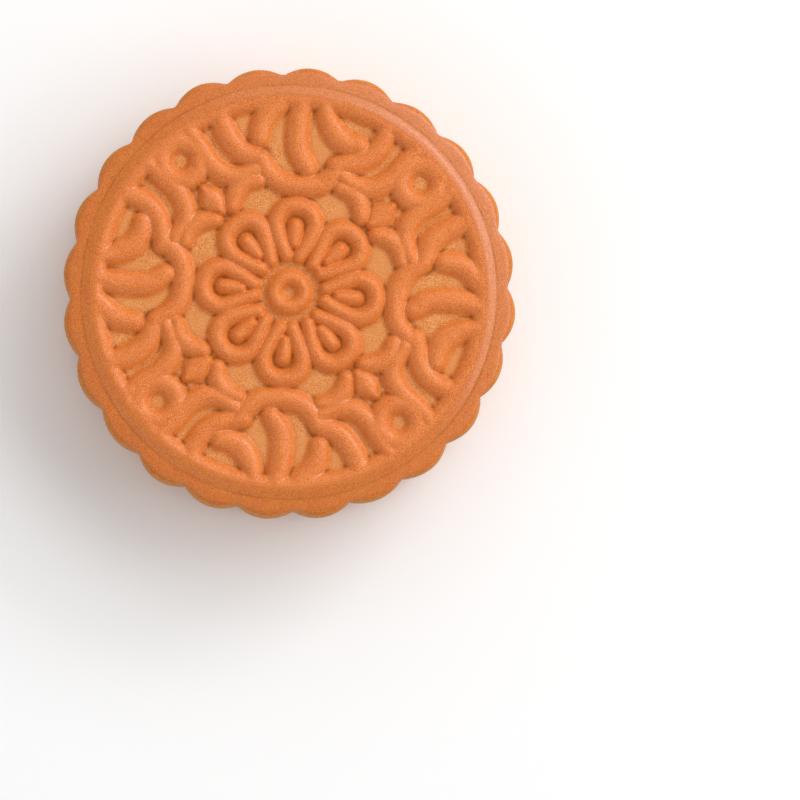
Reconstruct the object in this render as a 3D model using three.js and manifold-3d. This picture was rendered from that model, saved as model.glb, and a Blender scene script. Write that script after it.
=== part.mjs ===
// A baked mooncake: a low round cake with fluted sides, a plain raised border round its top, and rope-like
// moulded relief standing on the sunk floor inside the border. Four alike cloud panels, parted by four
// small loops, follow the border. An eight-petalled blossom fills the middle, and a leaf sprig fills each
// corner beside it.
// Millimetres, +Z up. The origin is the middle of the flat underside, and +Y points at one of the cloud
// panels.
import * as THREE from "three";
import { mergeVertices } from "three/addons/utils/BufferGeometryUtils.js";
import Module from "manifold-3d";

const wasm = await Module();
wasm.setup();

// Driving dimensions.
const cakeRadius = 40; // over the crowns of the flutes at the belly
const cakeHeight = 26; // underside to the crest of the relief in the middle
const reliefHeight = 1.4; // crest of the border and of every rope above the floor beside it
const topDome = 0.25; // how much higher the top is in the middle than at the sides
const fluteCount = 24;
const fluteDepth = 1.65; // crown of a flute to the notches beside it
const fluteTurn = -0.7; // degrees from +Y to the nearest crown, anticlockwise
const borderRadius = 34.2; // crest of the border
const borderInner = 1.9; // crest of the border to its inner foot
const flutingDrop = 0.65; // crest of the border down to where the flutes begin
const flutingFade = 0.8; // height over which they grow to their full depth
const ropeSink = 0.2; // how far the widest line of a rope lies below the floor
const ropeFullness = 0.78; // 0.5 would make a rope round, and 1 a parabola
const loopRadius = 3.45; // crest of a loop from its middle
const loopWidth = 4.1;
const loopOffset = 21.2; // middle of a loop, along X and along Y
const blossomRingRadius = 2.6;
const blossomRingWidth = 3.1;
const petalCount = 8;
const panelCount = 4;

// The slow unevenness of a cake pressed and baked by hand, as waves round the cake that grow towards its
// side. A wave has its size as a share of the radius or of the height, its count round the cake, and the
// angle of its first crest.
const crownUnevenness = 0.25; // how much the lowest crown stays behind the highest
const swellWaves = [
  { size: 0.003, count: 2, crest: 0.45 },
  { size: 0.002, count: 3, crest: -0.2 },
];
const liftWaves = [
  { size: 0.005, count: 1, crest: 2.2 },
  { size: 0.003, count: 2, crest: -0.55 },
];

// Worked out from them.
const crestHeight = cakeHeight - topDome;
const floorHeight = crestHeight - reliefHeight;

// Side of the cake along a crown, from the edge of the flat underside over the rounded shoulder and a low
// step to the crest of the border, as [radius, height].
const sideProfile = [
  [cakeRadius - 2.4, 0],
  [cakeRadius - 1.1, 1.6],
  [cakeRadius - 0.3, 6],
  [cakeRadius, 20],
  [cakeRadius - 0.15, 23.4],
  [cakeRadius - 0.5, 24.35],
  [cakeRadius - 1.2, 24.82],
  [cakeRadius - 2.2, 25.02],
  [borderRadius + 2.3, crestHeight - 0.55],
  [borderRadius + 1.7, crestHeight - 0.38],
  [borderRadius + 1.15, crestHeight - 0.17],
  [borderRadius + 0.6, crestHeight - 0.04],
  [borderRadius, crestHeight],
];

// The ropes of relief. A path is the line of the crest as [x, y], with y pointing out from the middle of
// the cake, and width is that of the foot at the start, the middle and the end of the path.
const cloudPanel = [
  { path: [[-4.9, 33], [-6.5, 31.2], [-7.6, 28.8], [-7.7, 26.6]], width: [4.3, 4.4, 3.9] },
  { path: [[-0.6, 33.3], [-1.1, 30.6], [-1.1, 27], [-0.5, 24.3], [1.2, 22]], width: [3.8, 4.5, 3.8] },
  { path: [[3.3, 33], [3.9, 30.9], [5.6, 28.3], [7.8, 27], [9.9, 26.8]], width: [3.3, 4.5, 3.8] },
  { path: [[-15, 30.3], [-14.5, 28.5], [-13, 26], [-10.8, 24], [-7.5, 23]], width: [4, 4.4, 3.7] },
  { path: [[14.5, 30.3], [14.1, 28.2], [12.6, 25.6], [9.9, 23.8], [6.1, 22.9]], width: [3.8, 4.1, 3.6] },
  {
    path: [[-7.1, 22.9], [-5.5, 20.6], [-3.1, 19.1], [0.1, 18.7], [3.3, 19.2], [5.4, 20.8], [6.8, 22.9]],
    width: [3.6, 4.1, 3.6],
  },
  {
    path: [[-20.1, 26.6], [-18.1, 24.3], [-16, 21.4], [-13.2, 19.6], [-10.5, 19.6], [-7.6, 21]],
    width: [3.4, 4.1, 3.2],
  },
  {
    path: [[20.1, 26.6], [18.1, 24.3], [16, 21.4], [13.2, 19.6], [10.5, 19.6], [7.6, 21]],
    width: [3.4, 4.1, 3.2],
  },
];
const blossomPetal = [
  {
    path: [
      [-1.1, 6.4], [-2.6, 9.3], [-3.5, 12.1], [-2.4, 14.5], [0, 15.3],
      [2.4, 14.5], [3.5, 12.1], [2.6, 9.3], [1.1, 6.4],
    ],
    width: [2.8, 3.4, 2.8],
  },
  { path: [[0, 8.6], [0, 11.7]], width: [2.3, 3.1, 2.9] },
];
const cornerSprig = [
  { path: [[0, 18.8], [0, 23.6]], width: [2.2, 4.6, 1.8] },
  { path: [[-2, 18.2], [-4, 19.5], [-6.3, 19.7], [-8.4, 18.6]], width: [3.2, 3.9, 3] },
  { path: [[2, 18.2], [4, 19.5], [6.3, 19.7], [8.4, 18.6]], width: [3.2, 3.9, 3] },
];

// Fineness.
const stepsPerFlute = 6;
const sideSteps = 12;
const borderSteps = 3;
const ropeSides = 8; // round a whole rope, of which the upper half shows
const ropeStep = 3.1; // about the length of a step along a rope
const endRings = 2; // in the rounded end of a rope
const loopSteps = 16;

const up = new THREE.Vector3(0, 0, 1);
const fullTurn = 2 * Math.PI;
const goldenAngle = 2.4; // steps that never fall into a rhythm

// A closed geometry as a solid that can be joined to others.
function solidOf(geometry) {
  const bare = geometry.clone();
  bare.deleteAttribute("normal");
  bare.deleteAttribute("uv");
  const merged = mergeVertices(bare, 1e-4);
  const vertProperties = new Float32Array(merged.attributes.position.array);
  const triVerts = new Uint32Array(merged.index.array);
  return new wasm.Manifold(new wasm.Mesh({ numProp: 3, vertProperties, triVerts }));
}

// Moves each point of a geometry to where the given function puts it.
function reshape(geometry, move) {
  const place = geometry.getAttribute("position");
  const point = new THREE.Vector3();
  for (let i = 0; i < place.count; i++) {
    move(point.fromBufferAttribute(place, i));
    place.setXYZ(i, point.x, point.y, point.z);
  }
  return geometry;
}

// The cake with its border and its bare floor, turned about the axis of the cake. A lathe's own axis is Y.
function turnedCake() {
  const side = new THREE.SplineCurve(sideProfile.map(([r, z]) => new THREE.Vector2(r, z)));
  const profile = [new THREE.Vector2(0, 0), ...side.getPoints(sideSteps)];
  for (let i = 1; i <= borderSteps; i++) {
    const angle = ((Math.PI / 2) * i) / borderSteps;
    const r = borderRadius - borderInner * Math.sin(angle);
    profile.push(new THREE.Vector2(r, floorHeight + reliefHeight * Math.cos(angle)));
  }
  profile.push(new THREE.Vector2(0, floorHeight));
  return new THREE.LatheGeometry(profile, fluteCount * stepsPerFlute).rotateX(Math.PI / 2);
}

// Presses the flutes into the side. Their crowns and notches fall on the lathe's own steps, and no two
// flutes are quite alike.
function flute(geometry) {
  reshape(geometry, (point) => {
    const r = Math.hypot(point.x, point.y);
    const below = (crestHeight - flutingDrop - point.z) / flutingFade;
    if (r < borderRadius || below <= 0) return;
    const along = (fluteCount * Math.atan2(point.y, point.x)) / fullTurn;
    const crown = Math.round(along);
    const notchShare = (2 * (along - crown)) ** 2; // 0 on the crown and 1 at the notches
    const lag = (crownUnevenness * (1 + Math.sin(goldenAngle * crown))) / 2;
    const press = Math.min(1, below) * (fluteDepth * notchShare + lag * (1 - notchShare));
    point.multiply(new THREE.Vector3(1 - press / r, 1 - press / r, 1));
  });
  return geometry.rotateZ(Math.PI / 2 + THREE.MathUtils.degToRad(fluteTurn));
}

// Height of a point of a round section made into a rope's. The share is -1 at the underside of the section,
// 0 at its widest and 1 on its crest.
function ropeHeight(share) {
  const rise = Math.sign(share) * Math.abs(share) ** (2 * ropeFullness);
  return floorHeight - ropeSink + rise * (reliefHeight + ropeSink);
}

// A rope of relief: a capsule bent along the path, sunk a little more than halfway into the floor, and
// turned about the Z axis.
function rope({ path, width: [startWidth, middleWidth, endWidth] }, turn) {
  const points = path.map(([x, y]) => new THREE.Vector3(x, y, 0).applyAxisAngle(up, turn));
  const curve = new THREE.CatmullRomCurve3(points, false, "catmullrom");
  const length = curve.getLength();
  const steps = Math.max(2, Math.round(length / ropeStep));
  const capsule = new THREE.CapsuleGeometry(1, length, endRings, ropeSides, steps);
  return reshape(capsule, (point) => {
    const onPath = THREE.MathUtils.clamp(point.y, -length / 2, length / 2);
    const t = onPath / length + 0.5;
    const ends = startWidth * (1 - t) * (1 - 2 * t) + endWidth * t * (2 * t - 1);
    const halfWidth = (ends + 4 * middleWidth * t * (1 - t)) / 2;
    const forward = curve.getTangentAt(t);
    const sideways = forward.clone().cross(up);
    const offset = sideways.multiplyScalar(point.x).addScaledVector(forward, point.y - onPath);
    const height = ropeHeight(point.z);
    point.copy(curve.getPointAt(t)).addScaledVector(offset, halfWidth).setZ(height);
  });
}

// A round rope, sunk like the others.
function loop(middle, radius, width) {
  const torus = new THREE.TorusGeometry(radius, width / 2, ropeSides, loopSteps);
  return reshape(torus, (point) => {
    point.setZ(ropeHeight((2 * point.z) / width)).add(middle);
  });
}

function relief() {
  const ropes = [loop(new THREE.Vector3(), blossomRingRadius, blossomRingWidth)];
  for (let i = 0; i < panelCount; i++) {
    const turn = (fullTurn * i) / panelCount;
    const corner = turn + fullTurn / panelCount / 2;
    const middle = new THREE.Vector3(loopOffset, loopOffset, 0).applyAxisAngle(up, turn);
    ropes.push(loop(middle, loopRadius, loopWidth));
    ropes.push(...cloudPanel.map((stroke) => rope(stroke, turn)));
    ropes.push(...cornerSprig.map((stroke) => rope(stroke, corner)));
  }
  for (let i = 0; i < petalCount; i++) {
    ropes.push(...blossomPetal.map((stroke) => rope(stroke, (fullTurn * i) / petalCount)));
  }
  return ropes;
}

function waveSum(waves, angle) {
  return waves.reduce((sum, { size, count, crest }) => sum + size * Math.cos(count * (angle - crest)), 0);
}

// Makes the cake not quite round, and neither level nor flat on top.
function settle(geometry) {
  return reshape(geometry, (point) => {
    const angle = Math.atan2(point.y, point.x);
    const reach = Math.hypot(point.x, point.y) / cakeRadius;
    const swell = 1 + reach * waveSum(swellWaves, angle);
    const dome = (topDome / crestHeight) * (1 - reach * reach);
    point.multiply(new THREE.Vector3(swell, swell, 1 + reach * waveSum(liftWaves, angle) + dome));
  });
}

// The whole cake as one closed geometry, standing on the origin.
function mooncake() {
  const solids = [flute(turnedCake()), ...relief()].map(solidOf);
  const mesh = wasm.Manifold.union(solids).getMesh();
  const geometry = new THREE.BufferGeometry();
  geometry.setAttribute("position", new THREE.BufferAttribute(new Float32Array(mesh.vertProperties), 3));
  geometry.setIndex(new THREE.BufferAttribute(new Uint32Array(mesh.triVerts), 1));
  settle(geometry);
  geometry.computeBoundingBox();
  const { min, max } = geometry.boundingBox;
  return geometry.translate(-(min.x + max.x) / 2, -(min.y + max.y) / 2, -min.z);
}

const crust = new THREE.MeshStandardMaterial({ color: 0xd9803f, roughness: 0.55, metalness: 0 });
const cake = new THREE.Mesh(mooncake(), crust);
cake.name = "mooncake";

const group = new THREE.Group();
group.add(cake);
export default group;
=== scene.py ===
import math

import bmesh
import bpy
import numpy as np
from mathutils import Matrix, Vector, noise
from mathutils.geometry import interpolate_bezier


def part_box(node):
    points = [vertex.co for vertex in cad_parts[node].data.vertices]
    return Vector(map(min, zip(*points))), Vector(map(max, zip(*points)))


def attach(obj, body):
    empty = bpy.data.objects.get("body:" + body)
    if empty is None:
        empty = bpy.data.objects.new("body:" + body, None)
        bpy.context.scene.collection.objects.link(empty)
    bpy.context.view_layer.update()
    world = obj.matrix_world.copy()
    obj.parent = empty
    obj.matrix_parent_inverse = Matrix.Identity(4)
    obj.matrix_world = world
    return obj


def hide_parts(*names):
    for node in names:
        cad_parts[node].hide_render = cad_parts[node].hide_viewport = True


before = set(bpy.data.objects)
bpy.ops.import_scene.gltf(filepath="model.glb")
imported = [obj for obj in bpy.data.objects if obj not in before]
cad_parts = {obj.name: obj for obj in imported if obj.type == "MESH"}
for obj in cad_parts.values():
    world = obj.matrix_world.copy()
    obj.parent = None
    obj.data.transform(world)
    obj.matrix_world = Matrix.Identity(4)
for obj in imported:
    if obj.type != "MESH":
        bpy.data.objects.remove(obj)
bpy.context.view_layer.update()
print("frame loaded")

mm = 0.001
fullTurn = 2 * math.pi

# The cake's form in millimetres, before it is fitted to the frame's box.
cake = {
    "radius": 40.0,         # over the crowns of the flutes
    "height": 26.0,
    "topDome": 0.25,        # how much higher the top is in the middle
    "reliefHeight": 1.4,    # crests above the sunk floor
    "flutes": 24,
    "fluteDepth": 1.65,
    "fluteTurn": -0.7,      # degrees from +Y to the nearest crown
    "fluteDrop": 0.65,      # crest of the border down to where the flutes begin
    "fluteFade": 0.8,       # height over which they grow to their full depth
    "crownLag": 0.25,       # how much the lowest crown stays behind the highest
    "borderRadius": 34.2,   # crest of the border
    "borderInner": 1.9,     # crest of the border to its inner foot
    # the side along a crown, from the crest of the border down: inwards of the radius, and height
    "side": [(5.8, 25.75), (5.2, 25.71), (4.65, 25.58), (4.1, 25.37), (3.5, 25.2), (2.2, 25.02),
             (1.2, 24.82), (0.5, 24.35), (0.15, 23.4), (0.0, 20.0), (0.3, 6.0), (1.1, 1.6), (2.4, 0.0)],
    "underside": (0.99, 0.95, 0.75, 0.5, 0.25, 0.1),   # radii of its rings, as shares of the foot's
    "pressFade": 4,         # how fast the flutes die away towards the middle of the underside
    # painted shade along the line between border and shoulder: inward of the radius, half width and darkness
    "creaseShade": (3.5, 0.3, 0.3),
    "shadeFadeLength": 6.0,      # of the stretches where that painted shade fades
    "notch": (0.5, 6),      # darkness and sharpness of the painted shade in the notches between the flutes
    "swell": [(0.003, 2, 0.45), (0.002, 3, -0.2)],   # size, count round the cake, angle of a crest
    "lift": [(0.005, 1, 2.2), (0.003, 2, -0.55)],
    "goldenAngle": 2.4,     # radians, so that the crowns' lags don't repeat
    "cells": 100,           # across the top, before it is refined
    "refinements": 2,
    "tolerance": 0.021,     # of the relief, in millimetres
    "sideSteps": 4,         # between two points of the side's profile
    "unevenness": 0.045,    # of the whole surface
    "unevenLength": 3.5,
}
cake["crest"] = cake["height"] - cake["topDome"]
cake["floor"] = cake["crest"] - cake["reliefHeight"]

# The ropes of relief: the crest's path as x and y, y pointing out, and the widths at start, middle and end.
ropes = {
    "panels": 4,
    "panel": [
        ([(-4.9, 33.0), (-6.5, 31.2), (-7.6, 28.8), (-7.7, 26.6)], (4.3, 4.4, 3.9)),
        ([(-0.6, 33.3), (-1.1, 30.6), (-1.1, 27.0), (-0.5, 24.3), (1.2, 22.0)], (3.8, 4.5, 3.8)),
        ([(3.3, 33.0), (3.9, 30.9), (5.6, 28.3), (7.8, 27.0), (9.9, 26.8)], (3.3, 4.5, 3.8)),
        ([(-15.0, 30.3), (-14.5, 28.5), (-13.0, 26.0), (-10.8, 24.0), (-7.5, 23.0)], (4.0, 4.4, 3.7)),
        ([(14.5, 30.3), (14.1, 28.2), (12.6, 25.6), (9.9, 23.8), (6.1, 22.9)], (3.8, 4.1, 3.6)),
        ([(-7.1, 22.9), (-5.5, 20.6), (-3.1, 19.1), (0.1, 18.7), (3.3, 19.2), (5.4, 20.8), (6.8, 22.9)],
         (3.6, 4.1, 3.6)),
        ([(-20.1, 26.6), (-18.1, 24.3), (-16.0, 21.4), (-13.2, 19.6), (-10.5, 19.6), (-7.6, 21.0)],
         (3.4, 4.1, 3.2)),
        ([(20.1, 26.6), (18.1, 24.3), (16.0, 21.4), (13.2, 19.6), (10.5, 19.6), (7.6, 21.0)],
         (3.4, 4.1, 3.2)),
    ],
    "petals": 8,
    "petal": [
        ([(-1.1, 6.4), (-2.6, 9.3), (-3.5, 12.1), (-2.4, 14.5), (0.0, 15.3), (2.4, 14.5), (3.5, 12.1),
          (2.6, 9.3), (1.1, 6.4)], (2.8, 3.4, 2.8)),
        ([(0.0, 8.6), (0.0, 11.7)], (2.3, 3.1, 2.9)),
    ],
    "sprig": [
        ([(0.0, 18.8), (0.0, 23.6)], (2.2, 4.6, 1.8)),
        ([(-2.0, 18.2), (-4.0, 19.5), (-6.3, 19.7), (-8.4, 18.6)], (3.2, 3.9, 3.0)),
        ([(2.0, 18.2), (4.0, 19.5), (6.3, 19.7), (8.4, 18.6)], (3.2, 3.9, 3.0)),
    ],
    "loopOffset": 21.2,     # middle of a loop along X and along Y
    "loop": (3.45, 4.1),    # radius and width
    "blossomRing": (2.6, 3.1),
    "sink": 0.2,            # how far the widest line of a rope lies below the floor
    "fullness": 0.78,       # 0.5 would be round, 1 a parabola
    "beside": 1.2,          # slope of the hidden ground beside a rope
    "blend": 0.3,           # softness where two ropes meet
    "borderBlend": 0.5,     # softness where a rope meets the border
    "foot": 0.5,            # softness where a rope meets the floor
    "gapShade": (1.1, 1.5),      # painted shade in narrow gaps: how far below the floor a second rope still darkens it, and how much
    "gapEnd": 0.5,          # rise at which that darkness is gone
    "valleyShade": (0.35, 0.25),     # difference in height that still counts as a valley, and the darkness of its painted shade
    "valleyEnd": 0.3,       # height over which the painted valley shade fades where it runs out on the floor
    "away": -3.0,           # rise far from any rope
    "margin": 2.0,          # width of ground beside a rope that it still changes
    "steps": 12,            # between two points of a path
    "wander": 0.14,         # how far the outlines stray
    "wanderLength": 5.0,
}
seedSteps = (17.3, 5.1, 9.7)    # along x, y and z from one noise to the next


def waveSum(waves, angle):
    return sum(size * np.cos(count * (angle - crest)) for size, count, crest in waves)


def noiseAt(points, length, seed):
    shift = Vector([step * seed for step in seedSteps])
    return np.array([noise.noise(Vector((x, y, 0)) / length + shift) for x, y in points])


def smoothMax(a, b, softness):
    share = np.clip(0.5 + 0.5 * (a - b) / softness, 0, 1)
    return b + (a - b) * share + softness * share * (1 - share)


def smoothPath(path, steps):
    # a Catmull-Rom curve through all the points, as an array
    points = [Vector(p) for p in path]
    before = [2 * points[0] - points[1]] + points[:-1]
    after = points[1:] + [2 * points[-1] - points[-2]]
    slopes = [(b - a) / 6 for a, b in zip(before, after)]
    line = []
    for i in range(len(points) - 1):
        handles = points[i] + slopes[i], points[i + 1] - slopes[i + 1]
        piece = interpolate_bezier(points[i], *handles, points[i + 1], steps + 1)
        line += [p[:2] for p in piece[bool(i):]]
    return np.array(line)


def makeRope(path, widths, turn):
    # crest line and half widths of a rope turned about the middle of the cake
    line = smoothPath(path, ropes["steps"])
    along = np.append(0, np.cumsum(np.hypot(*np.diff(line, axis=0).T)))
    t = along / along[-1]
    start, middle, end = widths
    width = start * (1 - t) * (1 - 2 * t) + 4 * middle * t * (1 - t) + end * t * (2 * t - 1)
    c, s = math.cos(turn), math.sin(turn)
    return line @ np.array([[c, s], [-s, c]]), width / 2


def makeRopes():
    lines, rings = [], [((0.0, 0.0), *ropes["blossomRing"], ropes["blend"])]
    for i in range(ropes["panels"]):
        turn = fullTurn * i / ropes["panels"]
        corner = turn + fullTurn / ropes["panels"] / 2
        lines += [makeRope(path, widths, turn) for path, widths in ropes["panel"]]
        lines += [makeRope(path, widths, corner) for path, widths in ropes["sprig"]]
        reach = math.sqrt(2) * ropes["loopOffset"]
        middle = (reach * math.cos(corner), reach * math.sin(corner))
        rings.append((middle, *ropes["loop"], ropes["blend"]))
    for i in range(ropes["petals"]):
        lines += [makeRope(path, widths, fullTurn * i / ropes["petals"]) for path, widths in ropes["petal"]]
    rings.append(((0.0, 0.0), cake["borderRadius"], 2 * cake["borderInner"], ropes["borderBlend"]))
    return lines, rings


ropeLines, ropeRings = makeRopes()


def lineDistance(points, line, half):
    # nearest distance to a rope's crest line, and the half width there
    best = np.full(len(points), np.inf)
    width = np.zeros(len(points))
    for i in range(len(line) - 1):
        step = line[i + 1] - line[i]
        t = np.clip((points - line[i]) @ step / (step @ step), 0, 1)
        distance = np.hypot(*(points - line[i] - t[:, None] * step).T)
        nearer = distance < best
        best[nearer] = distance[nearer]
        width[nearer] = (half[i] + t * (half[i + 1] - half[i]))[nearer]
    return best, width


def reliefAt(points):
    # height above the floor, rise of the nearest rope (below 0 beside it) and the painted shade in valleys
    # and narrow gaps between ropes
    stray = np.stack([noiseAt(points, ropes["wanderLength"], seed) for seed in (1, 2)], axis=1)
    places = points + ropes["wander"] * stray
    full = cake["reliefHeight"] + ropes["sink"]
    rise = np.full(len(points), ropes["away"])
    second = np.full(len(points), ropes["away"])

    def add(chosen, distance, half, blend):
        share = np.clip(distance / half, 0, 1)
        beside = ropes["beside"] * np.maximum(distance - half, 0)
        height = full * (1 - share * share) ** ropes["fullness"] - ropes["sink"] - beside
        second[chosen] = np.maximum(second[chosen], np.minimum(rise[chosen], height))
        rise[chosen] = smoothMax(rise[chosen], height, blend)

    margin = ropes["margin"]
    for line, half in ropeLines:
        low, high = line.min(0) - half.max() - margin, line.max(0) + half.max() + margin
        chosen = np.flatnonzero(((places > low) & (places < high)).all(axis=1))
        if len(chosen):
            add(chosen, *lineDistance(places[chosen], line, half), ropes["blend"])
    for middle, radius, width, blend in ropeRings:
        distance = np.abs(np.hypot(*(places - middle).T) - radius)
        chosen = np.flatnonzero(distance < width / 2 + margin)
        if len(chosen):
            add(chosen, distance[chosen], width / 2, blend)
    # painted shade in valleys between ropes and in narrow gaps of floor between two ropes
    drop, shade = ropes["valleyShade"]
    valleyShade = shade * np.clip(1 - (rise - second) / drop, 0, 1) * np.clip(1 - rise / full, 0, 1)
    valleyShade *= np.clip(second / ropes["valleyEnd"] + 0.5, 0, 1)
    drop, shade = ropes["gapShade"]
    gapShade = np.clip(shade * (1 + second / drop), 0, 1) * np.clip(ropes["gapEnd"] - rise, 0, 1)
    valleyShade = np.maximum(valleyShade, gapShade)
    height = smoothMax(rise, np.zeros(len(points)), ropes["foot"])
    height += cake["unevenness"] * noiseAt(points, cake["unevenLength"], 3)
    return height, rise, valleyShade


def coordinates(bm):
    return np.array([v.co[:] for v in bm.verts])


def refine(bm):
    # splits the faces whose edges cut across the relief
    bm.verts.index_update()
    places = coordinates(bm)[:, :2]
    ends = np.array([[v.index for v in e.verts] for e in bm.edges])
    heights = reliefAt(places)[0]
    middles = reliefAt(places[ends].mean(axis=1))[0]
    coarse = np.abs(middles - heights[ends].mean(axis=1)) > cake["tolerance"]
    marked = {f for e, pick in zip(bm.edges, coarse) if pick for f in e.link_faces}
    edges = list({e for f in marked for e in f.edges if not e.is_boundary})
    bmesh.ops.subdivide_edges(bm, edges=edges, cuts=1, use_grid_fill=True)
    many = [f for f in bm.faces if len(f.verts) > 4]
    bmesh.ops.triangulate(bm, faces=many)


def flutePress(radius, height, angle):
    # how far the side is pressed in, and how near a notch it is
    fluteTurn = math.pi / 2 + math.radians(cake["fluteTurn"])
    along = (angle - fluteTurn) * cake["flutes"] / fullTurn
    crown = round(along)
    notch = (2 * (along - crown)) ** 2
    lag = cake["crownLag"] * (1 + math.sin(cake["goldenAngle"] * crown)) / 2
    below = min(1, max(0, (cake["crest"] - cake["fluteDrop"] - height) / cake["fluteFade"]))
    return below * (cake["fluteDepth"] * notch + lag * (1 - notch)), notch * below


def extrudeRings(bm, profile, layers):
    # carries the open rim of the mesh along a profile of radius, height, rise, painted crease shade and side
    # share
    darkness, sharpness = cake["notch"]
    rim = [e for e in bm.edges if e.is_boundary]
    for radius, height, rise, creaseShade, side in profile:
        made = bmesh.ops.extrude_edge_only(bm, edges=rim)["geom"]
        rim = [e for e in made if isinstance(e, bmesh.types.BMEdge)]
        for v in made:
            if not isinstance(v, bmesh.types.BMVert):
                continue
            angle = math.atan2(v.co.y, v.co.x)
            press, notch = flutePress(radius, height, angle)
            press *= min(1, radius / cake["borderRadius"]) ** cake["pressFade"]
            v.co = ((radius - press) * math.cos(angle), (radius - press) * math.sin(angle), height)
            v[layers["rise"]] = rise
            # painted shade along the border's crease, fading in stretches, and in the notches between the
            # flutes
            shadeFade = 1 + noise.noise(v.co / cake["shadeFadeLength"])
            v[layers["creaseShade"]] = max(creaseShade * shadeFade, darkness * notch ** sharpness)
            v[layers["side"]] = side
    return rim


def sideProfile():
    # radius, height, rise, painted crease shade and share of the way down
    points = [(cake["radius"] - inward, height) for inward, height in cake["side"]]
    line = smoothPath(points, cake["sideSteps"])[1:]
    inward, width, darkness = cake["creaseShade"]
    for r, z in line:
        creaseShade = darkness * max(0, 1 - abs(cake["radius"] - inward - r) / width)
        yield r, z, 1.0, creaseShade, (cake["crest"] - z) / cake["crest"]


def bottomProfile():
    foot = cake["radius"] - cake["side"][-1][0]
    for share in cake["underside"]:
        yield foot * share, 0.0, 1.0, 0.0, 1.0


def modelCake():
    bm = bmesh.new()
    cells = cake["cells"]
    bmesh.ops.create_grid(bm, x_segments=cells, y_segments=cells, size=1)
    turn = math.radians(cake["fluteTurn"])
    for v in bm.verts:   # the square becomes a disc, its rows rings
        x, y = v.co.x, v.co.y
        if abs(x) >= abs(y):
            r, angle = x, math.pi / 4 * (y / x if x else 0)
        else:
            r, angle = y, math.pi / 2 - math.pi / 4 * x / y
        r *= cake["borderRadius"]
        v.co = (r * math.cos(angle + turn), r * math.sin(angle + turn), 0)
    for _ in range(cake["refinements"]):
        refine(bm)
    layers = {name: bm.verts.layers.float.new(name) for name in ("rise", "creaseShade", "side")}
    heights, rises, valleyShades = reliefAt(coordinates(bm)[:, :2])
    for v, height, rise, valleyShade in zip(bm.verts, heights, rises, valleyShades):
        v.co.z = cake["crest"] if v.is_boundary else cake["floor"] + height
        v[layers["rise"]] = rise / cake["reliefHeight"]
        # the attribute keeps the painted shade of valleys and gaps
        v[layers["creaseShade"]] = valleyShade
    print("top:", len(bm.verts), "points")
    extrudeRings(bm, sideProfile(), layers)
    rim = extrudeRings(bm, bottomProfile(), layers)
    bmesh.ops.pointmerge(bm, verts=list({v for e in rim for v in e.verts}), merge_co=(0, 0, 0))
    bmesh.ops.recalc_face_normals(bm, faces=bm.faces)
    return bm


def settle(bm):
    # not quite round, neither level nor flat on top, and fitted to the frame
    for v in bm.verts:
        angle = math.atan2(v.co.y, v.co.x)
        reach = math.hypot(v.co.x, v.co.y) / cake["radius"]
        swell = 1 + reach * waveSum(cake["swell"], angle)
        dome = cake["topDome"] / cake["crest"] * (1 - reach * reach)
        lift = 1 + reach * waveSum(cake["lift"], angle) + dome
        v.co = (v.co.x * swell, v.co.y * swell, v.co.z * lift)
    low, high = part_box("mooncake")
    places = coordinates(bm)
    lowest, size = places.min(0), np.ptp(places, axis=0)
    for v in bm.verts:
        v.co = [a + (c - b) / s * (d - a) for a, d, c, b, s in zip(low, high, v.co, lowest, size)]


def finishPiece(bm, name, material):
    mesh = bpy.data.meshes.new(name)
    bm.to_mesh(mesh)
    bm.free()
    mesh.shade_smooth()
    piece = bpy.data.objects.new(name, mesh)
    bpy.context.scene.collection.objects.link(piece)
    piece.data.materials.append(material)
    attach(piece, "root")
    print(name, "has", sum(len(p.vertices) - 2 for p in mesh.polygons), "triangles")
    return piece


class Wire:
    # a node's output that takes part in sums
    def __init__(self, finish, socket):
        self.finish, self.socket = finish, socket

    def math(self, operation, *others):
        return self.finish.node("ShaderNodeMath", {"operation": operation}, self, *others)[0]

    def __add__(self, other):
        return self.math("ADD", other)

    def __sub__(self, other):
        return self.math("SUBTRACT", other)

    def __mul__(self, other):
        return self.math("MULTIPLY", other)

    __radd__, __rmul__ = __add__, __mul__

    def __rsub__(self, other):
        return self.finish.node("ShaderNodeMath", {"operation": "SUBTRACT"}, other, self)[0]

    def clamp(self):
        return self.finish.node("ShaderNodeClamp", {}, self)[0]

    def between(self, low, high):
        # 0 at low and 1 at high, smooth in between
        settings = {"interpolation_type": "SMOOTHSTEP"}
        return self.finish.node("ShaderNodeMapRange", settings, self, low, high)[0]


class Finish:
    # a material and the maker of its nodes
    def __init__(self, name):
        self.material = bpy.data.materials.new(name)
        self.material.use_nodes = True
        self.tree = self.material.node_tree
        self.tree.nodes.clear()

    def node(self, kind, settings, *values, **named):
        made = self.tree.nodes.new(kind)
        for key, value in settings.items():
            setattr(made, key, value)
        sockets = [s for s in made.inputs if s.enabled]
        pairs = list(zip(sockets, values)) + [(made.inputs[key.replace("_", " ")], value)
                                              for key, value in named.items()]
        for socket, value in pairs:
            if isinstance(value, Wire):
                self.tree.links.new(value.socket, socket)
            else:
                socket.default_value = (*value, 1) if socket.type == "RGBA" else value
        return [Wire(self, s) for s in made.outputs if s.enabled]

    def attribute(self, name):
        return self.node("ShaderNodeAttribute", {"attribute_name": name})[2]   # as a number

    def spots(self, place, size, detail):
        # a noise with spots of a size in millimetres, around 0
        return self.node("ShaderNodeTexNoise", {}, place, Scale=1 / (size * mm), Detail=detail)[0] - 0.5

    def mix(self, share, a, b):
        return self.node("ShaderNodeMix", {"data_type": "RGBA"}, share, a, b)[0]


def screenColour(colour):
    # red, green and blue of a screen, up to 255, as light by the sRGB curve
    return tuple(c / 255 / 12.92 if c < 11 else ((c / 255 + 0.055) / 1.055) ** 2.4 for c in colour)


def dimmed(colour, left):
    return tuple(c * share for c, share in zip(screenColour(colour), left))


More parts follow.
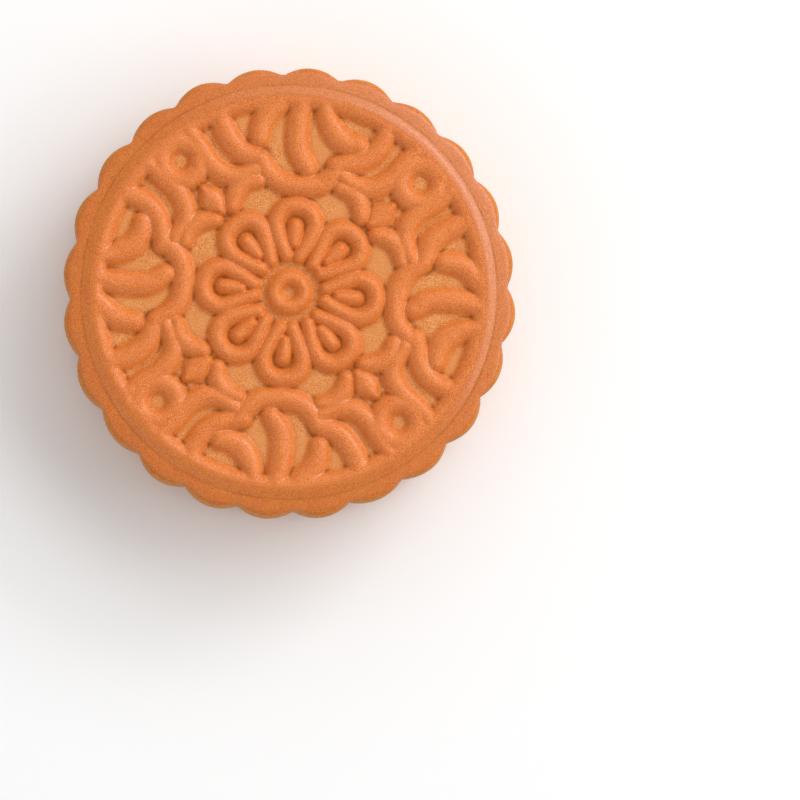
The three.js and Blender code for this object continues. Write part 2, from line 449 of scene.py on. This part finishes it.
# The baked crust. Colours are those of a screen, lengths are in millimetres, rises are shares of the relief's
# height above the floor, and shares of the side count from the crest down.
crustLook = {
    "ridge": (225, 124, 54),
    "flank": (227, 127, 51),
    "floor": (222, 141, 70),
    "foot": (0.9, 0.72, 0.5),       # painted shade at the foot of a rope: how much of the floor's colour is left there
    "rim": (210, 109, 7),
    "shoulder": (1.0, 0.97, 0.9),   # how much of the rim's colour is left on the shoulder
    # colour of the painted shade in creases, valleys, gaps and flute notches
    "creaseShade": (120, 58, 13),
    "creaseShadeShare": 0.9,             # share of that painted shade's colour in the darkest crease
    "side": (208, 138, 80),
    "footShadeRise": (-0.8, -0.2),       # where the painted shade on the floor begins
    "ropeRise": (-0.25, 0.1),       # where the floor's colour turns into the flank's
    "ridgeRise": (0.6, 0.95),       # and the flank's into the ridge's
    "rimRadius": (33.6, 35.0),      # where the relief's colour turns into the rim's
    "shoulderRadius": (37.4, 38.6),     # and the rim's into the shoulder's
    "sideShare": (0.03, 0.075),     # where the rim's colour turns into the side's
    "dryShare": (0.03, 0.055),      # and the egg wash ends
    # spots, by size and detail, and their weights
    "grain": (0.145, 1), "grainTone": 2.5, "grainBump": 2.0, "grainGlaze": 1.2,
    "mottle": (1.3, 3), "mottleTone": 0.25, "mottleBump": 0.6,
    "patch": (7.0, 2), "patchTone": 0.16,
    "toneShares": (0.4, 1.2, 2.4),  # of red, green and blue in a darker or paler spot
    "bump": 0.12,
    "bumpStrength": 0.5,
    "roughness": (0.34, 0.8),       # on top and down the side
    "ior": 1.4,
    "coatIor": 1.6,
    "coatRoughness": 0.26,
    "drySpecular": 0.05,
    "glaze": (0.06, 0.75),          # coat inside the rim and on it
    "flankGlaze": 0.62,             # and how much more on a rope's flanks
}


def crustFinish():
    look = crustLook
    skin = Finish("bakedCrust")
    place = skin.node("ShaderNodeTexCoord", {})[3]   # on the object
    flat = skin.node("ShaderNodeVectorMath", {"operation": "MULTIPLY"}, place, (1, 1, 0))[0]
    reach = skin.node("ShaderNodeVectorMath", {"operation": "LENGTH"}, flat)[0]
    rise, creaseShade, side = (skin.attribute(name) for name in ("rise", "creaseShade", "side"))
    grain, mottle, patch = (skin.spots(place, *look[name]) for name in ("grain", "mottle", "patch"))

    foot, onRope, onRidge = (rise.between(*look[name]) for name in ("footShadeRise", "ropeRise", "ridgeRise"))
    onRim, onShoulder = (reach.between(*(r * mm for r in look[name]))
                         for name in ("rimRadius", "shoulderRadius"))
    # the floor turns darker at a rope's foot: painted shade
    ground = skin.mix(foot, screenColour(look["floor"]), dimmed(look["floor"], look["foot"]))
    rope = skin.mix(onRidge, screenColour(look["flank"]), screenColour(look["ridge"]))
    colour = skin.mix(onRope, ground, rope)
    colour = skin.mix(onRim, colour, screenColour(look["rim"]))
    colour = skin.mix(onShoulder, colour, dimmed(look["rim"], look["shoulder"]))
    # painted shade in creases, valleys, narrow gaps and flute notches
    colour = skin.mix(creaseShade * look["creaseShadeShare"], colour, screenColour(look["creaseShade"]))
    colour = skin.mix(side.between(*look["sideShare"]), colour, screenColour(look["side"]))
    tone = patch * look["patchTone"] + mottle * look["mottleTone"] + grain * look["grainTone"]
    toned = {"operation": "MULTIPLY_ADD"}
    tones = skin.node("ShaderNodeVectorMath", toned, tone, look["toneShares"], (1, 1, 1))[0]
    tinted = skin.node("ShaderNodeVectorMath", {"operation": "MULTIPLY"}, colour, tones)[0]

    bump = grain * look["grainBump"] + mottle * look["mottleBump"]
    normal = skin.node("ShaderNodeBump", {}, Strength=look["bumpStrength"], Distance=look["bump"] * mm,
                       Height=bump)[0]
    low, high = look["glaze"]
    glaze = onRim * (high - low) + onRope * (1 - onRidge) * look["flankGlaze"]
    glaze = (glaze + grain * look["grainGlaze"] + low).clamp()
    smooth, matt = look["roughness"]
    glazed = skin.node("ShaderNodeBsdfPrincipled", {}, Base_Color=tinted, Roughness=smooth, IOR=look["ior"],
                       Normal=normal, Coat_Weight=glaze, Coat_Roughness=look["coatRoughness"],
                       Coat_IOR=look["coatIor"])[0]
    dry = skin.node("ShaderNodeBsdfPrincipled", {}, Base_Color=tinted, Roughness=matt, Normal=normal,
                    Specular_IOR_Level=look["drySpecular"])[0]
    dryness = (side.between(*look["dryShare"]) + creaseShade).clamp()
    crust = skin.node("ShaderNodeMixShader", {}, dryness, glazed, dry)[0]
    skin.node("ShaderNodeOutputMaterial", {}, crust)
    return skin.material


tableLook = {"halfWidth": 3.0, "colour": (0.95, 0.95, 0.95), "roughness": 0.8}


def tableFinish():
    top = Finish("paleTable")
    shader = top.node("ShaderNodeBsdfPrincipled", {}, Base_Color=tableLook["colour"],
                      Roughness=tableLook["roughness"])[0]
    top.node("ShaderNodeOutputMaterial", {}, shader)
    return top.material


def makeStage():
    bm = bmesh.new()
    bmesh.ops.create_grid(bm, x_segments=1, y_segments=1, size=tableLook["halfWidth"])
    mesh = bpy.data.meshes.new("table")
    bm.to_mesh(mesh)
    bm.free()
    table = bpy.data.objects.new("table", mesh)
    bpy.context.scene.collection.objects.link(table)
    table.data.materials.append(tableFinish())


# Soft boxes, each with the azimuth and elevation of its place in degrees, its width and height in metres
# and its radiance, and the even light of the room.
light = {
    "boxes": [(47.0, 32.0, 0.6, 0.35, 8.6), (47.0, 52.0, 1.0, 0.8, 1.8), (87.0, 42.0, 1.0, 0.8, 0.9),
              (7.0, 42.0, 1.0, 0.8, 2.1), (227.0, 42.0, 1.6, 0.8, 0.4)],
    "distance": 1.5,
    "room": 0.545,
}


def makeLight():
    for azimuth, elevation, width, height, radiance in light["boxes"]:
        lamp = bpy.data.lights.new("softBox", "AREA")
        lamp.energy = math.pi * width * height * radiance
        lamp.shape = "RECTANGLE"
        lamp.size, lamp.size_y = width, height
        azimuth, elevation = math.radians(azimuth), math.radians(elevation)
        towards = Vector((math.cos(elevation) * math.cos(azimuth), math.cos(elevation) * math.sin(azimuth),
                          math.sin(elevation)))
        stand = bpy.data.objects.new("softBox", lamp)
        stand.location = light["distance"] * towards
        stand.rotation_euler = towards.to_track_quat("Z", "Y").to_euler()
        bpy.context.scene.collection.objects.link(stand)
    world = bpy.data.worlds.new("room")
    world.use_nodes = True
    world.node_tree.nodes["Background"].inputs["Color"].default_value = (1, 1, 1, 1)
    world.node_tree.nodes["Background"].inputs["Strength"].default_value = light["room"]
    bpy.context.scene.world = world
    bpy.context.scene.view_settings.view_transform = "Standard"


view = {
    "distance": 1.0,             # metres
    "lean": 4.1,                 # degrees from straight above
    "leanTowards": -108.0,       # degrees from +X
    "turn": 5.17,                # of the cake's +X in the picture, clockwise
    "middle": (290.5, 291.5),    # where the middle of the top falls, in pixels
    "pixelsPerMetre": 5700.0,
    "side": 800,                 # of the picture, in pixels
    "sensor": 36.0,              # millimetres
    "clip": (0.01, 20.0),        # metres
}


def makeCamera():
    turn = math.radians(view["turn"])
    right = Vector((math.cos(turn), math.sin(turn), 0))
    up = Vector((-math.sin(turn), math.cos(turn), 0))
    lean, towards = math.radians(view["lean"]), math.radians(view["leanTowards"])
    top = Vector((0, 0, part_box("mooncake")[1].z))
    eye = top + view["distance"] * Vector((math.sin(lean) * math.cos(towards),
                                           math.sin(lean) * math.sin(towards), math.cos(lean)))
    half = view["side"] / 2
    across = (half - view["middle"][0]) / view["pixelsPerMetre"]
    down = (half - view["middle"][1]) / view["pixelsPerMetre"]
    aim = top + across * right - down * up
    back = (eye - aim).normalized()
    sideways = up.cross(back).normalized()
    lens = bpy.data.cameras.new("camera")
    lens.sensor_width = view["sensor"]
    lens.lens = view["pixelsPerMetre"] * (eye - top).dot(back) * view["sensor"] / view["side"]
    lens.clip_start, lens.clip_end = view["clip"]
    camera = bpy.data.objects.new("camera", lens)
    turned = Matrix((sideways, back.cross(sideways), back)).transposed().to_4x4()
    camera.matrix_world = Matrix.Translation(eye) @ turned
    bpy.context.scene.collection.objects.link(camera)
    bpy.context.scene.camera = camera


makeCamera()
makeLight()
makeStage()
print("stage set")

body = modelCake()
settle(body)
crust = finishPiece(body, "mooncakeCrust", crustFinish())
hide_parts("mooncake")
print("cake modelled")
